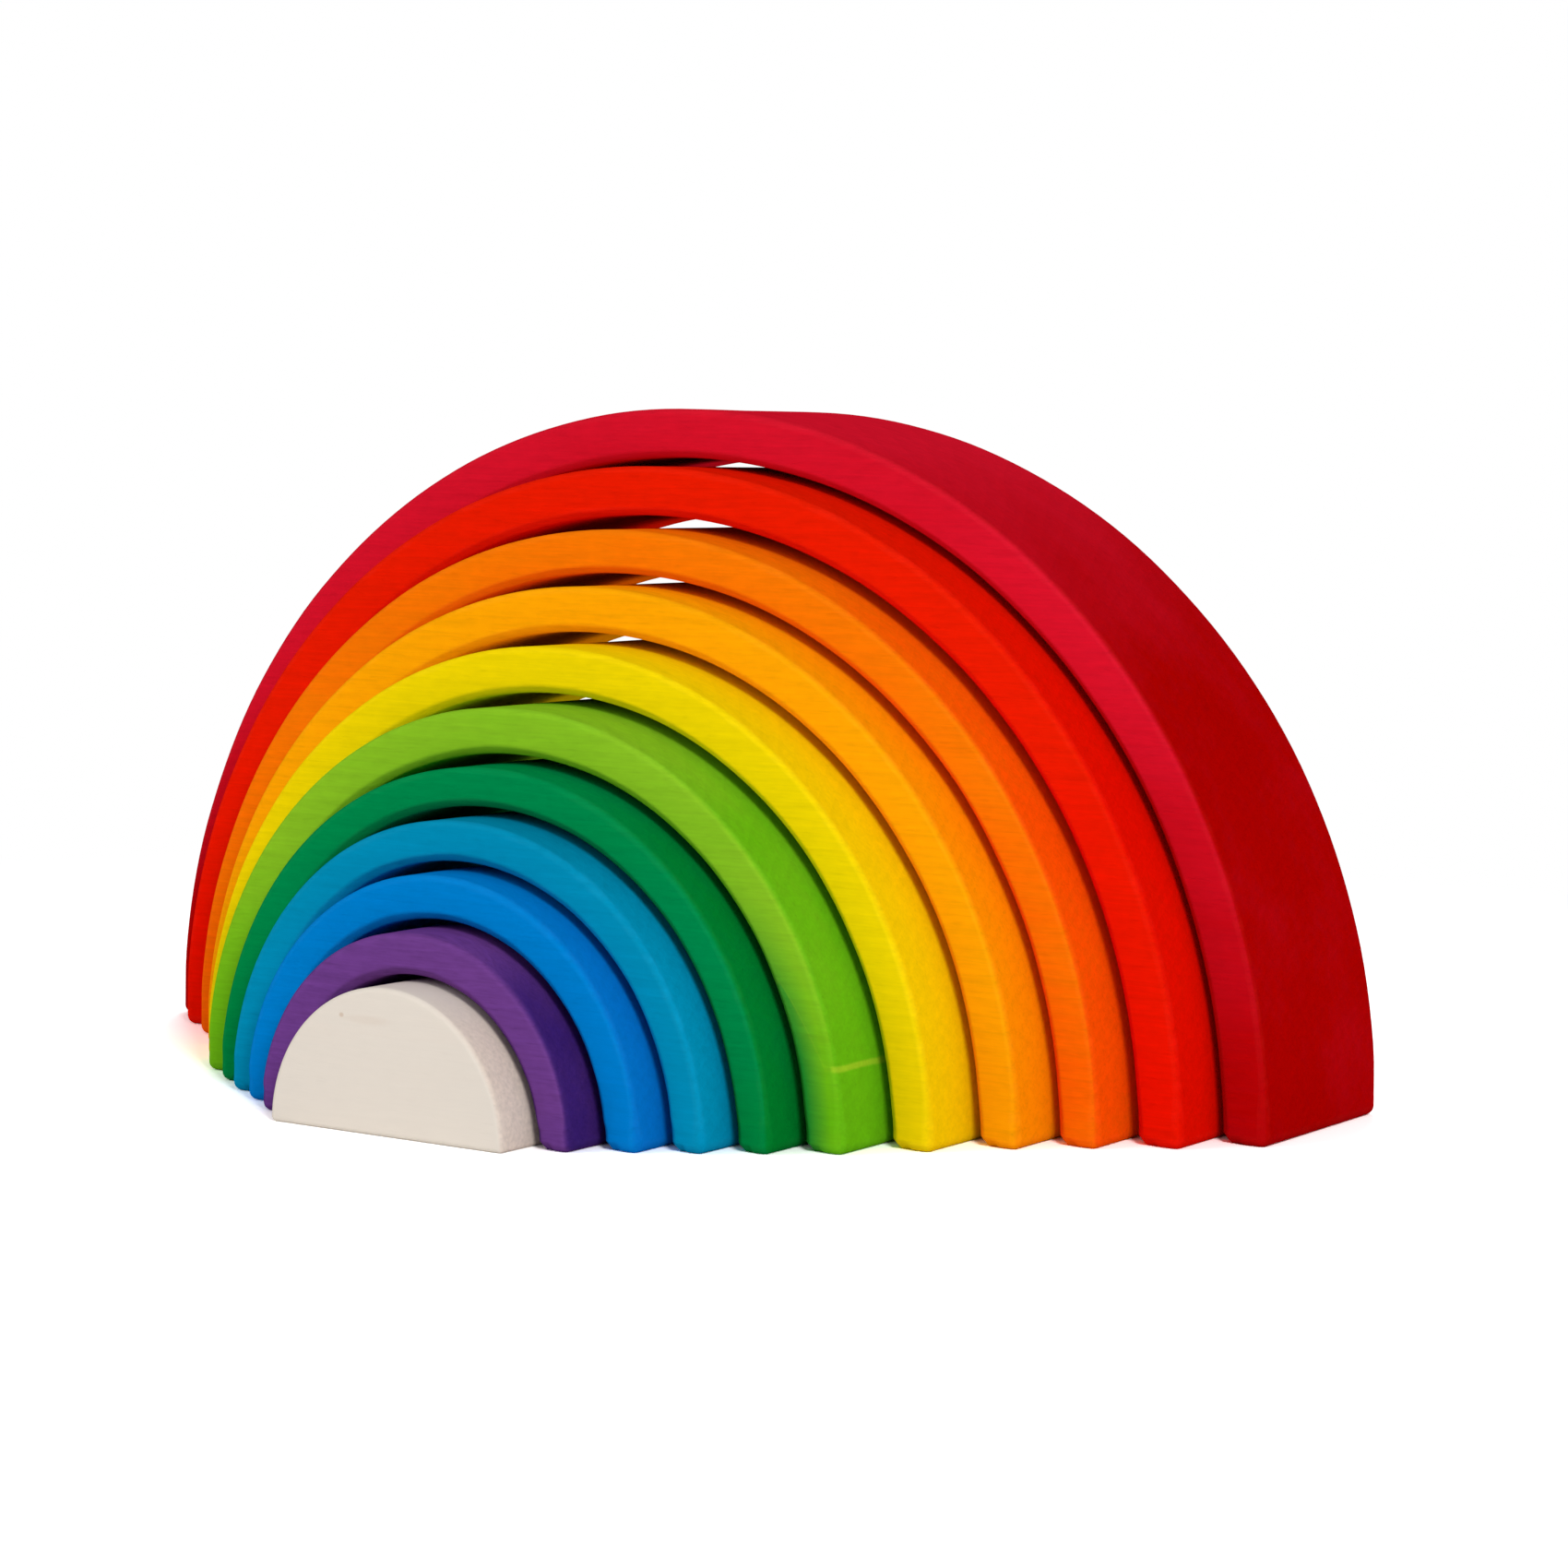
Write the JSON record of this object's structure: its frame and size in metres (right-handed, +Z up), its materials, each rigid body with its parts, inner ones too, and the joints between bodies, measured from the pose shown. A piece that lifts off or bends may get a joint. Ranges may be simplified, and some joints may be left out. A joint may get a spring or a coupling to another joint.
{
  "type": "rainbow stacker",
  "caption": "Wooden rainbow stacker: nested half-round arches in rainbow colours round a solid half disc, all loose and drawn forward in steps.",
  "frame": {"origin": "on the floor under the middle of the staggered row's box", "axes": "+X across the rainbow, the longest way; -Y towards the front, the way the pieces are drawn out; +Z up"},
  "size_m": [0.36, 0.1836, 0.18],
  "materials": {
    "crimson_arch": "stained wood, grain showing, satin",
    "red_arch": "stained wood, grain showing, satin",
    "orange_arch": "stained wood, grain showing, satin",
    "amber_arch": "stained wood, grain showing, satin",
    "yellow_arch": "stained wood, grain showing, satin",
    "lime_arch": "stained wood, grain showing, satin",
    "green_arch": "stained wood, grain showing, satin",
    "teal_arch": "stained wood, grain showing, satin",
    "blue_arch": "stained wood, grain showing, satin",
    "purple_arch": "stained wood, grain showing, satin",
    "half_disc": "bare sanded wood"
  },
  "bodies": {
    "crimson_arch": {"crimson_arch": "crimson_arch"},
    "red_arch": {"red_arch": "red_arch"},
    "orange_arch": {"orange_arch": "orange_arch"},
    "amber_arch": {"amber_arch": "amber_arch"},
    "yellow_arch": {"yellow_arch": "yellow_arch"},
    "lime_arch": {"lime_arch": "lime_arch"},
    "green_arch": {"green_arch": "green_arch"},
    "teal_arch": {"teal_arch": "teal_arch"},
    "blue_arch": {"blue_arch": "blue_arch"},
    "purple_arch": {"purple_arch": "purple_arch"},
    "half_disc": {"half_disc": "half_disc"}
  },
  "joints": [
    {"name": "red_slide", "type": "slide", "parent": "crimson_arch", "child": "red_arch", "axis": [0, -1, 0], "range_m": [-0.0155, 0.1745]},
    {"name": "orange_slide", "type": "slide", "parent": "crimson_arch", "child": "orange_arch", "axis": [0, -1, 0], "range_m": [-0.0275, 0.1625]},
    {"name": "amber_slide", "type": "slide", "parent": "crimson_arch", "child": "amber_arch", "axis": [0, -1, 0], "range_m": [-0.0405, 0.1495]},
    {"name": "yellow_slide", "type": "slide", "parent": "crimson_arch", "child": "yellow_arch", "axis": [0, -1, 0], "range_m": [-0.0565, 0.1335]},
    {"name": "lime_slide", "type": "slide", "parent": "crimson_arch", "child": "lime_arch", "axis": [0, -1, 0], "range_m": [-0.0725, 0.1175]},
    {"name": "green_slide", "type": "slide", "parent": "crimson_arch", "child": "green_arch", "axis": [0, -1, 0], "range_m": [-0.083, 0.107]},
    {"name": "teal_slide", "type": "slide", "parent": "crimson_arch", "child": "teal_arch", "axis": [0, -1, 0], "range_m": [-0.0925, 0.0975]},
    {"name": "blue_slide", "type": "slide", "parent": "crimson_arch", "child": "blue_arch", "axis": [0, -1, 0], "range_m": [-0.101, 0.089]},
    {"name": "purple_slide", "type": "slide", "parent": "crimson_arch", "child": "purple_arch", "axis": [0, -1, 0], "range_m": [-0.1105, 0.0795]},
    {"name": "half_disc_slide", "type": "slide", "parent": "crimson_arch", "child": "half_disc", "axis": [0, -1, 0], "range_m": [-0.1205, 0.0695]}
  ]
}
